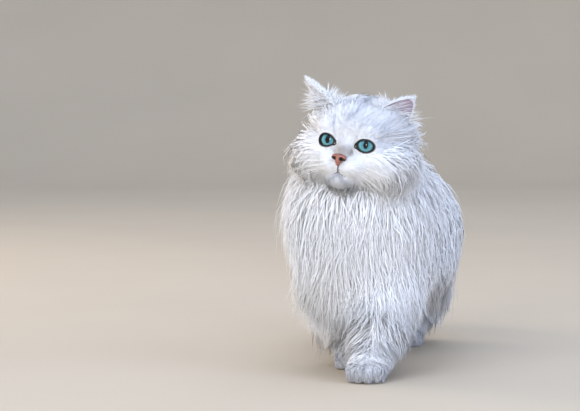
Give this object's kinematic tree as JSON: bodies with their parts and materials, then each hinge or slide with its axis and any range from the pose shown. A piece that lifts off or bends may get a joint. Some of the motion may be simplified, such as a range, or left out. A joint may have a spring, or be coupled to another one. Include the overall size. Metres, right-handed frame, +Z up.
{
  "type": "long-haired cat figure",
  "caption": "Life-size long-haired cat with a short, flat face, walking with the head turned a little to one side.",
  "frame": {"origin": "on the floor, under the middle of the animal's bounding box", "axes": "+Z up, -Y the way the cat walks, +X to the cat's left"},
  "size_m": [0.2098, 0.586, 0.3293],
  "materials": {
    "coat": "long soft hair, white with pale grey tips",
    "ear_skin": "thin bare skin inside, short white hair outside",
    "eye": "wet and clear over a blue-green iris",
    "nose_leather": "bare brick-pink skin, a little moist",
    "whisker": "stiff white hairs"
  },
  "bodies": {
    "root": {"head": "coat", "neck": "coat", "torso": "coat", "tail_root": "coat", "tail_plume": "coat", "foreleg_left": "coat", "foreleg_right": "coat", "hindleg_left": "coat", "hindleg_right": "coat", "paw_fore_left": "coat", "paw_fore_right": "coat", "paw_hind_left": "coat", "paw_hind_right": "coat", "ear_left": "ear_skin", "ear_right": "ear_skin", "eye_left": "eye", "eye_right": "eye", "nose": "nose_leather"}
  },
  "joints": []
}
